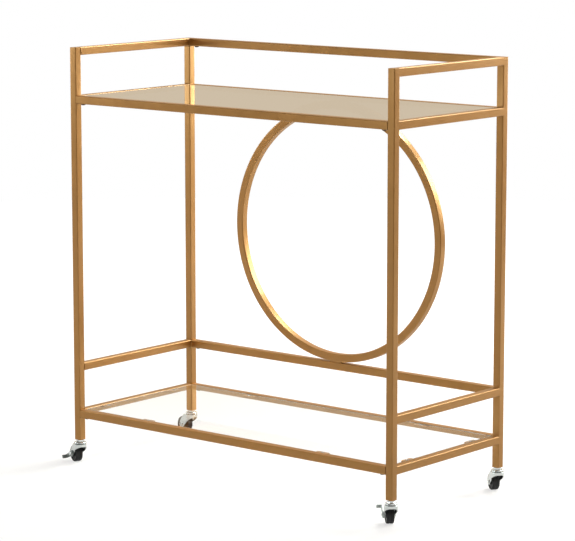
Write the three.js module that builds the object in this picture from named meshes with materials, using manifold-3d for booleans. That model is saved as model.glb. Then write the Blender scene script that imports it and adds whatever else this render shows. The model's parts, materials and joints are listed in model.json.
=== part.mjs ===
// A two-tier bar cart: a square-tube frame with a ring in its back, two glass shelves that drop
// into the frame, and four swivel casters, the two front ones with a side brake.
//
// Millimetres. +X runs along the length, +Y to the back, +Z up. The origin is on the floor,
// under the middle of the cart's outline, casters included. Until the last lines, everything is
// placed about the middle of the four posts.
//
// The side frames are welded. The cross rails slide over tongues on the posts, and a screw from
// below holds each end, so the cart comes apart into two ladders, six rails, a ring and the glass.

import * as THREE from "three";
import { mergeVertices } from "three/addons/utils/BufferGeometryUtils.js";
import Module from "manifold-3d";

const wasm = await Module();
wasm.setup();

// Overall size, and how far apart the rails' upper faces are.
const cartLength = 766;
const cartDepth = 337;
const cartHeight = 800;
const trayDepth = 90.5; // from the hand rail down to the upper shelf
const galleryHeight = 90; // from the lower shelf up to the gallery rail
const lowerShelfTop = 106.5; // above the floor

// The square steel tube of the frame.
const tubeSize = 15;
const tubeWall = 1;
const tubeCorner = 1.6;
const seamGap = 0.3; // between welded or seated faces

// Tongues that the cross rails slide over, and the screws that hold them.
const tongueLength = 24;
const tongueFit = 0.3; // clearance round the tongue inside the tube
const screwInset = 12; // from the post's face to the screw
const screwRadius = 2.4;
const screwHeadRadius = 4.4;
const screwHeadHeight = 2.2;
const screwHoleFit = 0.3;
const screwTipRoom = 1; // between the screw's tip and the tube's upper wall

// The ring in the back, bent from the same kind of tube.
const ringTube = 15;
const ringWall = 1;
const ringGap = 1.5; // between the ring and the rail above it or below it
const ringSeatWidth = 36; // length of the weld that fills that gap
const ringChamfer = 1; // stands for the tube's round corner
const ringVentRadius = 1.5;
const ringSides = 88;

// Glass shelves and the tabs that carry them.
const glassThickness = 5;
const glassCorner = 3;
const glassEdge = 0.6; // ground edge
const glassFit = 1; // clearance between the glass and the rails
const glassSink = 0.5; // how far the glass lies below the rails' upper faces
const tabThickness = 2;
const tabWidth = 28;
const tabReach = 12;
const sideTabSpacing = 190;
const crossTabSpacing = 420;

// Casters: floor to the post's end, wheel, fork and stem.
const casterHeight = 47;
const casterTrail = 19; // from the swivel axis to the axle
const wheelRadius = 16;
const wheelWidth = 14;
const wheelEdge = 1.6;
const hubRadius = 5.5;
const hubStandOut = 0.6;
const rimInset = 3.4; // radial width of the tread band beside the dished face
const dishDepth = 1.4;
const axleRadius = 2.5;
const axleHeadRadius = 3.4;
const axleHeadHeight = 1.8;
const axleHeadEdge = 0.8;
const runningFit = 0.15; // between a turning piece and its pin
const sheet = 1.5; // thickness of the pressed fork
const forkSideGap = 1.1; // between the wheel's side and the fork
const crownRadius = 11.8;
const crownTop = 38.6;
const crownEdge = 1.2; // rounding of the crown's upper edge
const skirtDrop = 5.4; // depth of the crown's turned-down front edge
const skirtSetBack = 0.3; // from the crown's front to where the skirt starts to rise
const forkBossRadius = 6.5;
const forkBossTurn = 30; // degrees from the boss's middle line to where the legs' edges leave it
const kingpinRadius = 3.2;
const kingpinHeadRadius = 5.2;
const kingpinHeadHeight = 1.8;
const kingpinHeadFlat = 3.6; // radius of its flat underside
const raceRadius = 7.6;
const raceHeight = 0.7;
const cupHeight = 3.4;
const cupDraft = 0.5; // how far the cup's side leans in
const cupShoulder = 0.8; // height of the slope from its side to its top
const cupShoulderReach = 2.4; // from its outside to its flat top
const collarSink = 0.2; // how far the collar is set into the cup
const collarAcrossFlats = 13;
const stemRadius = 4;
const stemLength = 18; // length of the stem inside the post
const plugHeight = 20;

// Side brake: a lever on the axle, outside one leg of the fork. Pressed down, the ramp on its hub
// draws the leg against the wheel.
const leverHubRadius = 6.2;
const leverHubWidth = 2.4;
const leverSheet = 1.5;
const leverLength = 25;
const leverRootHalf = 4.8; // half the arm's height at the hub
const leverTipHalf = 3.4;
const leverTabWidth = 8; // how far the tab for the foot stands out
const leverTabCorner = 1.4;
const leverSwing = 48; // degrees, half above level and half below

// How finely round forms are cut, and how far a cutter reaches past the face that it opens.
const turnedSides = 24;
const barSides = 16;
const smallSides = 12; // screws, rivets and small holes
const hubSides = 20;
const wheelSides = 30;
const crownSides = 7; // on each quarter of the fork's crown
const legSides = 4; // along each curve of the fork's legs
const cutPast = 1;

const paint = new THREE.MeshStandardMaterial({ color: 0xb08454, roughness: 0.4, metalness: 0.8 });
const glass = new THREE.MeshStandardMaterial({
  color: 0xd9e2da,
  roughness: 0.05,
  metalness: 0,
  transparent: true,
  opacity: 0.35,
});
const chrome = new THREE.MeshStandardMaterial({ color: 0xd4d6d8, roughness: 0.2, metalness: 1 });
const darkZinc = new THREE.MeshStandardMaterial({ color: 0x6c6d71, roughness: 0.4, metalness: 0.9 });
const blackOxide = new THREE.MeshStandardMaterial({ color: 0x3c3833, roughness: 0.5, metalness: 0.9 });
const blackWheel = new THREE.MeshStandardMaterial({ color: 0x1b1b1c, roughness: 0.55, metalness: 0 });
const blackNylon = new THREE.MeshStandardMaterial({ color: 0x242424, roughness: 0.6, metalness: 0 });

const xAxis = new THREE.Vector3(1, 0, 0);
const yAxis = new THREE.Vector3(0, 1, 0);
const zAxis = new THREE.Vector3(0, 0, 1);

function solidOf(geometry) {
  const bare = geometry.clone();
  bare.deleteAttribute("normal");
  bare.deleteAttribute("uv");
  const merged = mergeVertices(bare, 1e-4);
  return new wasm.Manifold(
    new wasm.Mesh({
      numProp: 3,
      vertProperties: new Float32Array(merged.attributes.position.array),
      triVerts: new Uint32Array(merged.index.array),
    }),
  );
}

function meshOf(name, solid, material) {
  const data = solid.getMesh();
  const geometry = new THREE.BufferGeometry();
  geometry.setAttribute("position", new THREE.BufferAttribute(data.vertProperties, 3));
  geometry.setIndex(new THREE.BufferAttribute(data.triVerts, 1));
  geometry.computeVertexNormals();
  const mesh = new THREE.Mesh(geometry, material);
  mesh.name = name;
  return mesh;
}

// A block between two corners.
function block(low, high) {
  const size = new THREE.Vector3(...high).sub(new THREE.Vector3(...low));
  const geometry = new THREE.BoxGeometry(size.x, size.y, size.z);
  geometry.translate((low[0] + high[0]) / 2, (low[1] + high[1]) / 2, (low[2] + high[2]) / 2);
  return solidOf(geometry);
}

// A round or many-sided bar between two points.
function bar(radius, from, to, sides = barSides) {
  const start = new THREE.Vector3(...from);
  const run = new THREE.Vector3(...to).sub(start);
  const geometry = new THREE.CylinderGeometry(radius, radius, run.length(), sides);
  geometry.translate(0, run.length() / 2, 0);
  geometry.applyQuaternion(new THREE.Quaternion().setFromUnitVectors(yAxis, run.clone().normalize()));
  geometry.translate(start.x, start.y, start.z);
  return solidOf(geometry);
}

// A shape pushed along an axis, from one station to another. Along X the shape lies in YZ,
// and along Z it lies in XY.
function pushed(shape, axis, from, to, options = {}) {
  const geometry = new THREE.ExtrudeGeometry(shape, {
    depth: to - from,
    bevelEnabled: false,
    curveSegments: 1,
    ...options,
  });
  const placed = new THREE.Matrix4();
  if (axis === "x") placed.makeBasis(yAxis, zAxis, xAxis).setPosition(from, 0, 0);
  if (axis === "y") placed.makeBasis(zAxis, xAxis, yAxis).setPosition(0, from, 0);
  if (axis === "z") placed.makeTranslation(0, 0, from);
  geometry.applyMatrix4(placed);
  return solidOf(geometry);
}

// A profile of [radius, station] pairs turned about Y.
function turnedAboutY(profile, sides = turnedSides) {
  return solidOf(new THREE.LatheGeometry(profile.map(([r, h]) => new THREE.Vector2(r, h)), sides));
}

function turnedAboutZ(profile, sides = turnedSides) {
  return turnedAboutY(profile, sides).rotate([90, 0, 0]);
}

// A rectangle with round corners.
function roundedRectangle(width, height, corner, centreX = 0, centreY = 0) {
  const right = width / 2 - corner;
  const top = height / 2 - corner;
  const outline = new THREE.Shape();
  outline.absarc(centreX + right, centreY + top, corner, 0, Math.PI / 2);
  outline.absarc(centreX - right, centreY + top, corner, Math.PI / 2, Math.PI);
  outline.absarc(centreX - right, centreY - top, corner, Math.PI, 1.5 * Math.PI);
  outline.absarc(centreX + right, centreY - top, corner, 1.5 * Math.PI, 2 * Math.PI);
  outline.closePath();
  return outline;
}

const upperShelfTop = cartHeight - trayDepth;
const galleryTop = lowerShelfTop + galleryHeight;
const ringSpace = upperShelfTop - tubeSize - galleryTop;
const ringOuterRadius = ringSpace / 2 - ringGap;
const postX = (cartLength - tubeSize) / 2;
const postY = (cartDepth - tubeSize) / 2;
const bore = tubeSize - 2 * tubeWall;
const railHalfLength = postX - tubeSize / 2 - seamGap;
const sideHalfLength = postY - tubeSize / 2 - seamGap;

const corners = [
  { name: "front_left", sideX: -1, sideY: -1 },
  { name: "front_right", sideX: 1, sideY: -1 },
  { name: "back_left", sideX: -1, sideY: 1 },
  { name: "back_right", sideX: 1, sideY: 1 },
];

// The rails that run along X, with the side they are on and the height of their upper face.
const crossRails = [
  { name: "hand_rail_back", sideY: 1, top: cartHeight, carriesGlass: false },
  { name: "upper_shelf_rail_front", sideY: -1, top: upperShelfTop, carriesGlass: true },
  { name: "upper_shelf_rail_back", sideY: 1, top: upperShelfTop, carriesGlass: true },
  { name: "gallery_rail_back", sideY: 1, top: galleryTop, carriesGlass: false },
  { name: "lower_shelf_rail_front", sideY: -1, top: lowerShelfTop, carriesGlass: true },
  { name: "lower_shelf_rail_back", sideY: 1, top: lowerShelfTop, carriesGlass: true },
];

// The rails that run along Y, one on each side.
const sideRails = [
  { name: "hand_rail", top: cartHeight, carriesGlass: false },
  { name: "upper_shelf_rail", top: upperShelfTop, carriesGlass: true },
  { name: "gallery_rail", top: galleryTop, carriesGlass: false },
  { name: "lower_shelf_rail", top: lowerShelfTop, carriesGlass: true },
];

const tongueSize = bore - 2 * tongueFit;
const screwHoleRadius = screwRadius + screwHoleFit;
const screwX = postX - tubeSize / 2 - screwInset;

function post({ sideX, sideY }) {
  const x = sideX * postX;
  const y = sideY * postY;
  const outer = roundedRectangle(tubeSize, tubeSize, tubeCorner, x, y);
  let solid = pushed(outer, "z", casterHeight, cartHeight);
  solid = solid.subtract(
    block(
      [x - bore / 2, y - bore / 2, casterHeight - cutPast],
      [x + bore / 2, y + bore / 2, cartHeight - tubeWall],
    ),
  );
  const wallMiddle = sideX * (postX - tubeSize / 2 + tubeWall / 2);
  const tongueEnd = sideX * (postX - tubeSize / 2 - tongueLength);
  for (const rail of crossRails.filter((each) => each.sideY === sideY)) {
    const z = rail.top - tubeSize / 2;
    const tongue = block(
      [Math.min(wallMiddle, tongueEnd), y - tongueSize / 2, z - tongueSize / 2],
      [Math.max(wallMiddle, tongueEnd), y + tongueSize / 2, z + tongueSize / 2],
    );
    const hole = bar(
      screwHoleRadius,
      [sideX * screwX, y, z - tubeSize],
      [sideX * screwX, y, z + tubeSize],
      smallSides,
    );
    solid = solid.add(tongue.subtract(hole));
  }
  return solid;
}

// The section of a rail, centred on the given point of the plane that it is pushed across.
function tubeSection(centreX, centreY) {
  const section = roundedRectangle(tubeSize, tubeSize, tubeCorner, centreX, centreY);
  const half = bore / 2;
  section.holes.push(
    new THREE.Path([
      new THREE.Vector2(centreX - half, centreY - half),
      new THREE.Vector2(centreX - half, centreY + half),
      new THREE.Vector2(centreX + half, centreY + half),
      new THREE.Vector2(centreX + half, centreY - half),
    ]),
  );
  return section;
}

const glassDrop = glassSink + glassThickness + seamGap;

// A tab of flat bar welded to a rail's inner face, under the glass. Its root lies in the wall.
function tab(low, high, railTop) {
  const top = railTop - glassDrop;
  return block([low[0], low[1], top - tabThickness], [high[0], high[1], top]);
}

function crossRail({ sideY, top, carriesGlass }) {
  const y = sideY * postY;
  let solid = pushed(tubeSection(y, top - tubeSize / 2), "x", -railHalfLength, railHalfLength);
  for (const side of [-1, 1]) {
    const x = side * screwX;
    const below = [x, y, top - tubeSize - cutPast];
    solid = solid.subtract(bar(screwHoleRadius, below, [x, y, top - tubeSize / 2], smallSides));
    if (carriesGlass) {
      const root = y - sideY * (tubeSize - tubeWall) / 2;
      const end = y - sideY * (tubeSize / 2 + tabReach);
      const middle = (side * crossTabSpacing) / 2;
      const low = [middle - tabWidth / 2, Math.min(root, end)];
      const high = [middle + tabWidth / 2, Math.max(root, end)];
      solid = solid.add(tab(low, high, top));
    }
  }
  return solid;
}

function sideRail(sideX, { top, carriesGlass }) {
  const x = sideX * postX;
  let solid = pushed(tubeSection(top - tubeSize / 2, x), "y", -sideHalfLength, sideHalfLength);
  if (carriesGlass) {
    for (const side of [-1, 1]) {
      const root = x - sideX * (tubeSize - tubeWall) / 2;
      const end = x - sideX * (tubeSize / 2 + tabReach);
      const middle = (side * sideTabSpacing) / 2;
      const low = [Math.min(root, end), middle - tabWidth / 2];
      const high = [Math.max(root, end), middle + tabWidth / 2];
      solid = solid.add(tab(low, high, top));
    }
  }
  return solid;
}

// A pan-head screw that stands in the rail's lower wall and the tongue above it.
function railScrew(sideX, { sideY, top }) {
  const x = sideX * screwX;
  const y = sideY * postY;
  const seat = top - tubeSize - seamGap;
  const tip = top - tubeWall - seamGap - screwTipRoom;
  return turnedAboutZ(
    [
      [0, seat - screwHeadHeight],
      [screwHeadRadius - screwHeadHeight / 2, seat - screwHeadHeight],
      [screwHeadRadius, seat],
      [screwRadius, seat],
      [screwRadius, tip],
      [0, tip],
    ],
    smallSides,
  ).translate([x, y, 0]);
}

const ringCentreZ = galleryTop + ringSpace / 2;

// The ring: a square tube bent round, with a weld to the rail above it and the rail below it.
// The small hole lets the air out of the closed tube.
function backRing() {
  const middle = ringOuterRadius - ringTube / 2;
  const half = ringTube / 2;
  const flat = half - ringChamfer;
  const section = [
    [middle + half, -flat],
    [middle + half, flat],
    [middle + flat, half],
    [middle - flat, half],
    [middle - half, flat],
    [middle - half, -flat],
    [middle - flat, -half],
    [middle + flat, -half],
  ];
  const boreHalf = half - ringWall;
  const boreSection = [
    [middle + boreHalf, -boreHalf],
    [middle + boreHalf, boreHalf],
    [middle - boreHalf, boreHalf],
    [middle - boreHalf, -boreHalf],
  ];
  const outer = turnedAboutY([...section, section[0]], ringSides);
  const inner = turnedAboutY([...boreSection, boreSection[0]], ringSides);
  const reach = ringSpace / 2 - seamGap;
  const seats = block(
    [-ringSeatWidth / 2, -ringTube / 2, -reach],
    [ringSeatWidth / 2, ringTube / 2, reach],
  ).subtract(bar(ringOuterRadius - ringWall / 2, [0, -ringTube, 0], [0, ringTube, 0], ringSides / 2));
  const vent = bar(ringVentRadius, [0, 0, -reach - cutPast], [0, 0, -middle], smallSides);
  return outer.add(seats).subtract(inner).subtract(vent).translate([0, postY, ringCentreZ]);
}

function glassShelf(railTop) {
  const length = cartLength - 2 * tubeSize - 2 * glassFit;
  const depth = cartDepth - 2 * tubeSize - 2 * glassFit;
  const top = railTop - glassSink;
  const outline = roundedRectangle(length, depth, glassCorner);
  return pushed(outline, "z", top - glassThickness + glassEdge, top - glassEdge, {
    bevelEnabled: true,
    bevelThickness: glassEdge,
    bevelSize: glassEdge,
    bevelOffset: -glassEdge,
    bevelSegments: 1,
  });
}

// Casters. Each one is built about its swivel axis, with the axle behind it along +X and the brake
// on the +Y side. It stands on the floor at Z = 0. The axle, the wheel and the lever are built
// about the axle's own axis, which lies along Y.

const forkInnerHalf = wheelWidth / 2 + forkSideGap;
const forkOuterHalf = forkInnerHalf + sheet;
const cupBottom = crownTop + raceHeight + seamGap;
const cupTop = cupBottom + cupHeight;
const leverInside = forkOuterHalf + seamGap;
const leverOutside = leverInside + leverHubWidth;

// The hardware inside the post's end: a square plug with a bore for the stem.
function postPlug() {
  const half = bore / 2 - tongueFit;
  const body = block([-half, -half, casterHeight], [half, half, casterHeight + plugHeight]);
  const top = [0, 0, casterHeight + plugHeight + cutPast];
  return body.subtract(bar(stemRadius + seamGap, [0, 0, casterHeight - cutPast], top));
}

// Stem, hexagon collar, upper race cup and kingpin, in one turned and riveted piece.
function stem() {
  const headTop = crownTop - sheet - seamGap;
  const headBottom = headTop - kingpinHeadHeight;
  const stemTop = casterHeight + stemLength;
  const turned = turnedAboutZ([
    [0, headBottom],
    [kingpinHeadFlat, headBottom],
    [kingpinHeadRadius, headTop - kingpinHeadHeight / 3],
    [kingpinHeadRadius, headTop],
    [kingpinRadius, headTop],
    [kingpinRadius, cupBottom],
    [crownRadius, cupBottom],
    [crownRadius - cupDraft, cupTop - cupShoulder],
    [crownRadius - cupShoulderReach, cupTop],
    [stemRadius, cupTop],
    [stemRadius, stemTop],
    [0, stemTop],
  ]);
  const collarRadius = collarAcrossFlats / Math.sqrt(3);
  const collarEnd = casterHeight - seamGap;
  return turned.add(bar(collarRadius, [0, 0, cupTop - collarSink], [0, 0, collarEnd], 6));
}

// Outline of the fork seen from above: a round crown that runs into two straight legs.
function forkPlan(radius, half, end) {
  const join = Math.acos(Math.sqrt(radius ** 2 - half ** 2) / radius);
  const outline = new THREE.Shape();
  outline.absarc(0, 0, radius, join, 2 * Math.PI - join);
  outline.lineTo(end, -half);
  outline.lineTo(end, half);
  outline.closePath();
  return outline;
}

// Outline of the fork seen from the side, in Z and X: skirt in front, legs sloping back to
// round ends at the axle. Both edges are one curve each, which bends most near the wheel's top.
function forkSide() {
  const outline = new THREE.Shape();
  const above = crownTop + seamGap;
  const before = -crownRadius - seamGap;
  const skirtBottom = crownTop - skirtDrop;
  const turn = THREE.MathUtils.degToRad(forkBossTurn);
  const bossX = forkBossRadius * Math.cos(turn);
  const bossZ = forkBossRadius * Math.sin(turn);
  const bendZ = wheelRadius + bossZ + forkBossRadius;
  outline.moveTo(above, before);
  outline.lineTo(skirtBottom, before);
  outline.lineTo(skirtBottom, skirtSetBack - crownRadius);
  outline.quadraticCurveTo(
    wheelRadius + forkBossRadius,
    casterTrail - 2 * forkBossRadius,
    wheelRadius - bossZ,
    casterTrail - bossX,
  );
  const arcStart = 1.5 * Math.PI - (Math.PI / 2 - turn);
  outline.absarc(wheelRadius, casterTrail, forkBossRadius, arcStart, arcStart - Math.PI, true);
  outline.quadraticCurveTo(bendZ, casterTrail + bossX - 1, crownTop, crownRadius);
  outline.lineTo(above, crownRadius);
  outline.closePath();
  return outline;
}

function fork() {
  const pastLegs = casterTrail + 2 * forkBossRadius;
  const side = pushed(forkSide(), "y", -2 * crownRadius, 2 * crownRadius, {
    curveSegments: legSides,
  });
  const plan = pushed(forkPlan(crownRadius, forkOuterHalf, pastLegs), "z", 0, crownTop - crownEdge, {
    curveSegments: crownSides,
    bevelEnabled: true,
    bevelThickness: crownEdge,
    bevelSize: crownEdge,
    bevelOffset: -crownEdge,
    bevelSegments: 2,
  });
  const hollowPlan = forkPlan(crownRadius - sheet, forkInnerHalf, 2 * pastLegs);
  const hollow = pushed(hollowPlan, "z", -2 * crownEdge, crownTop - sheet, {
    curveSegments: crownSides,
  });
  const race = turnedAboutZ([
    [0, crownTop - sheet / 2],
    [raceRadius + raceHeight, crownTop - sheet / 2],
    [raceRadius + raceHeight, crownTop],
    [raceRadius, crownTop + raceHeight],
    [0, crownTop + raceHeight],
  ]);
  const kingpinHole = bar(
    kingpinRadius + runningFit,
    [0, 0, crownTop - 2 * sheet],
    [0, 0, crownTop + 2 * raceHeight],
  );
  const axleHole = bar(
    axleRadius + runningFit,
    [casterTrail, -crownRadius, wheelRadius],
    [casterTrail, crownRadius, wheelRadius],
  );
  return side.intersect(plan).subtract(hollow).add(race).subtract(kingpinHole).subtract(axleHole);
}

// The brake lever, level: a hub on the axle, an arm that narrows backwards, and a tab for the
// foot that is bent outwards.
function brakeLever() {
  const hub = bar(leverHubRadius, [0, leverInside, 0], [0, leverOutside, 0], hubSides);
  const outline = new THREE.Shape([
    new THREE.Vector2(-leverRootHalf, 0),
    new THREE.Vector2(leverRootHalf, 0),
    new THREE.Vector2(leverTipHalf, leverLength),
    new THREE.Vector2(-leverTipHalf, leverLength),
  ]);
  const arm = pushed(outline, "y", leverOutside - leverSheet, leverOutside);
  const tabEnd = leverOutside + leverTabWidth;
  const tabMiddle = (leverOutside - leverSheet + tabEnd) / 2;
  const tabOutline = roundedRectangle(
    tabEnd - leverOutside + leverSheet,
    2 * leverTipHalf,
    leverTabCorner,
    tabMiddle,
    0,
  );
  const footTab = pushed(tabOutline, "x", leverLength - leverSheet, leverLength);
  const holeEnds = [
    [0, leverInside - cutPast, 0],
    [0, leverOutside + cutPast, 0],
  ];
  const hole = bar(axleRadius + runningFit, ...holeEnds);
  return hub.add(arm).add(footTab).subtract(hole);
}

// A rivet with a head at each end. Where there is a brake, it reaches through the lever's hub.
function axle(hasBrake) {
  const head = (shoulder) => [
    [axleRadius, shoulder],
    [axleHeadRadius, shoulder],
    [axleHeadRadius, shoulder + axleHeadHeight - axleHeadEdge],
    [axleHeadRadius - axleHeadEdge, shoulder + axleHeadHeight],
    [0, shoulder + axleHeadHeight],
  ];
  const plainSide = head(forkOuterHalf + seamGap);
  const brakeSide = head((hasBrake ? leverOutside : forkOuterHalf) + seamGap);
  const turned = [...plainSide.map(([r, y]) => [r, -y]).reverse(), ...brakeSide];
  return turnedAboutY(turned, smallSides);
}

// A one-piece moulded wheel with a dished face on both sides.
function wheel() {
  const half = wheelWidth / 2;
  const dish = half - dishDepth;
  const rim = wheelRadius - rimInset;
  const boreRadius = axleRadius + runningFit;
  const right = [
    [boreRadius, half + hubStandOut],
    [hubRadius, half + hubStandOut],
    [hubRadius, dish],
    [rim, dish],
    [wheelRadius - wheelEdge, half],
    [wheelRadius, half - wheelEdge],
  ].reverse();
  const left = right.map(([r, y]) => [r, -y]).reverse();
  return turnedAboutY([...left, ...right, left[0]], wheelSides);
}

// Where each caster stands and how it happens to be turned: the angle from +X to its axle.
const casters = [
  { corner: corners[0], turn: 157.5, brake: "on" },
  { corner: corners[1], turn: 135.5, brake: "off" },
  { corner: corners[2], turn: 174.5 },
  { corner: corners[3], turn: 145.5 },
];

function casterGroup({ corner, turn, brake }) {
  const fixed = new THREE.Group();
  fixed.position.set(corner.sideX * postX, corner.sideY * postY, 0);
  fixed.add(meshOf(`post_plug_${corner.name}`, postPlug(), blackNylon));
  fixed.add(meshOf(`caster_stem_${corner.name}`, stem(), chrome));

  const swivel = new THREE.Group();
  swivel.rotation.z = THREE.MathUtils.degToRad(turn);
  swivel.add(meshOf(`caster_fork_${corner.name}`, fork(), chrome));

  const onAxle = new THREE.Group();
  onAxle.position.set(casterTrail, 0, wheelRadius);
  onAxle.add(meshOf(`caster_axle_${corner.name}`, axle(Boolean(brake)), chrome));
  onAxle.add(meshOf(`caster_wheel_${corner.name}`, wheel(), blackWheel));
  if (brake) {
    const lever = meshOf(`brake_lever_${corner.name}`, brakeLever(), darkZinc);
    const down = THREE.MathUtils.degToRad(leverSwing / 2);
    lever.rotation.y = brake === "on" ? down : -down;
    onAxle.add(lever);
  }
  swivel.add(onAxle);
  fixed.add(swivel);
  return fixed;
}

const cart = new THREE.Group();

for (const corner of corners) cart.add(meshOf(`post_${corner.name}`, post(corner), paint));

for (const rail of crossRails) {
  cart.add(meshOf(rail.name, crossRail(rail), paint));
  cart.add(meshOf(`screw_${rail.name}_left`, railScrew(-1, rail), blackOxide));
  cart.add(meshOf(`screw_${rail.name}_right`, railScrew(1, rail), blackOxide));
}

for (const rail of sideRails) {
  cart.add(meshOf(`${rail.name}_left`, sideRail(-1, rail), paint));
  cart.add(meshOf(`${rail.name}_right`, sideRail(1, rail), paint));
}

cart.add(meshOf("back_ring", backRing(), paint));
cart.add(meshOf("upper_glass_shelf", glassShelf(upperShelfTop), glass));
cart.add(meshOf("lower_glass_shelf", glassShelf(lowerShelfTop), glass));

for (const caster of casters) cart.add(casterGroup(caster));

// The casters trail further to one side than to the other, so the cart moves over a little to
// bring the middle of its outline above the origin.
const outlineMiddle = new THREE.Box3().setFromObject(cart, true).getCenter(new THREE.Vector3());
const toTenth = (length) => Math.round(length * 10) / 10;
cart.position.set(-toTenth(outlineMiddle.x), -toTenth(outlineMiddle.y), 0);

const standingCart = new THREE.Group();
standingCart.add(cart);

export default standingCart;
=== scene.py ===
import json
import math
import random

import bmesh
import bpy
from mathutils import Matrix, Vector


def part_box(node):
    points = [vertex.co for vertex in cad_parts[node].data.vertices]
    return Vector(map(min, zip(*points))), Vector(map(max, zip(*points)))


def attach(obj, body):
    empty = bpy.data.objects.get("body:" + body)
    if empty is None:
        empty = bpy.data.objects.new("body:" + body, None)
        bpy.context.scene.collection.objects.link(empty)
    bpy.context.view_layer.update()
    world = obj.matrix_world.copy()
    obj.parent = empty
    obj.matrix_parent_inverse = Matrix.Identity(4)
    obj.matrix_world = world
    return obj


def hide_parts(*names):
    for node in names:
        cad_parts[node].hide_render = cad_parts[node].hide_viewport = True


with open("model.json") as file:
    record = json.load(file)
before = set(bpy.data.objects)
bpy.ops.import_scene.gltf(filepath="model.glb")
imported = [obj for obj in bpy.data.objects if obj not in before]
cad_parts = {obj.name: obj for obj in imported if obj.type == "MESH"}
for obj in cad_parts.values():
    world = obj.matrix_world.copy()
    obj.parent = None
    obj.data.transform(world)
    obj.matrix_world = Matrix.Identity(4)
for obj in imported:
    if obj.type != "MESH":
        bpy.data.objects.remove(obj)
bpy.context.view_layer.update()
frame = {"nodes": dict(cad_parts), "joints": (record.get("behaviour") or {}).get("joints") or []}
random.seed(7)
mm = 0.001
tiny = 1e-7  # metres, within which places are the same
print("bar cart: frame loaded,", len(frame["nodes"]), "nodes")

corners = ("front_left", "front_right", "back_left", "back_right")
joints = {joint["name"]: joint for joint in frame["joints"]}
postBoxes = {corner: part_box(f"post_{corner}") for corner in corners}
leftX = postBoxes["front_left"][0][0]
rightX = postBoxes["front_right"][1][0]
frontY = postBoxes["front_left"][0][1]
backY = postBoxes["back_left"][1][1]
middleX = (leftX + rightX) / 2
middleY = (frontY + backY) / 2

camera = {
    "place": (3.0723, -3.7134, 1.1669),  # from the middle of the posts, on the floor
    "turn": 39.526,  # degrees round to the right of the front
    "dip": 9.113,  # degrees below level
    "lens": 164.4,
}


def makeCamera(spec):
    data = bpy.data.cameras.new("camera")
    data.lens = spec["lens"]
    data.sensor_width = 36.0
    data.clip_start, data.clip_end = 0.1, 200.0
    eye = bpy.data.objects.new("camera", data)
    bpy.context.scene.collection.objects.link(eye)
    eye.location = Vector(spec["place"]) + Vector((middleX, middleY, 0))
    turn, dip = math.radians(spec["turn"]), math.radians(spec["dip"])
    look = Vector((-math.sin(turn) * math.cos(dip), math.cos(turn) * math.cos(dip), -math.sin(dip)))
    eye.rotation_mode = "QUATERNION"
    eye.rotation_quaternion = look.to_track_quat("-Z", "Y")
    bpy.context.scene.camera = eye


makeCamera(camera)


# sRGB hex to linear
def colour(text, alpha=1.0):
    channels = [int(text[i : i + 2], 16) / 255 for i in (0, 2, 4)]
    linear = [c / 12.92 if c <= 0.04045 else ((c + 0.055) / 1.055) ** 2.4 for c in channels]
    return (*linear, alpha)


# an input is a number, a colour, a socket, or a node, whose first output is used
def addNode(tree, kind, settings=None, inputs=None):
    node = tree.nodes.new(kind)
    for key, value in (settings or {}).items():
        setattr(node, key, value)
    for key, value in (inputs or {}).items():
        if isinstance(value, bpy.types.Node):
            value = value.outputs[0]
        if isinstance(value, bpy.types.NodeSocket):
            tree.links.new(value, node.inputs[key])
        else:
            node.inputs[key].default_value = value
    return node


# an empty node tree, with the place on the piece that its patterns follow
def startMaterial(name):
    material = bpy.data.materials.new(name)
    material.use_nodes = True
    tree = material.node_tree
    tree.nodes.clear()
    place = addNode(tree, "ShaderNodeTexCoord").outputs["Object"]
    return material, tree, place


# a pattern's scale from the size of its blotches in millimetres
def each(size):
    return 1 / (size * mm)


noiseSpan = (0.3, 0.7)  # nearly all of a noise lies between these
glassIor = 1.52


# two shades in soft clouds and an uneven sheen, as a colour and a roughness; a look gives the size
# in millimetres and the detail of both
def addClouds(tree, cloudAt, filmAt, look):
    size, detail = look["clouds"]
    clouds = addNode(
        tree, "ShaderNodeTexNoise", inputs={"Vector": cloudAt, "Scale": each(size), "Detail": detail}
    )
    low, high = look.get("cloudSpan", noiseSpan)
    share = addNode(
        tree, "ShaderNodeMapRange", inputs={"Value": clouds, "From Min": low, "From Max": high}
    )
    tint = addNode(
        tree,
        "ShaderNodeMix",
        {"data_type": "RGBA"},
        {0: share, 6: colour(look["shades"][0]), 7: colour(look["shades"][1])},
    )
    return tint.outputs[2], addFilm(tree, filmAt, look)


# an uneven roughness
def addFilm(tree, place, look):
    size, detail = look["film"]
    film = addNode(
        tree, "ShaderNodeTexNoise", inputs={"Vector": place, "Scale": each(size), "Detail": detail}
    )
    return addNode(
        tree,
        "ShaderNodeMapRange",
        inputs={
            "Value": film,
            "From Min": look.get("filmSpan", noiseSpan)[0],
            "From Max": look.get("filmSpan", noiseSpan)[1],
            "To Min": look["rough"][0],
            "To Max": look["rough"][1],
        },
    )


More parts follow.
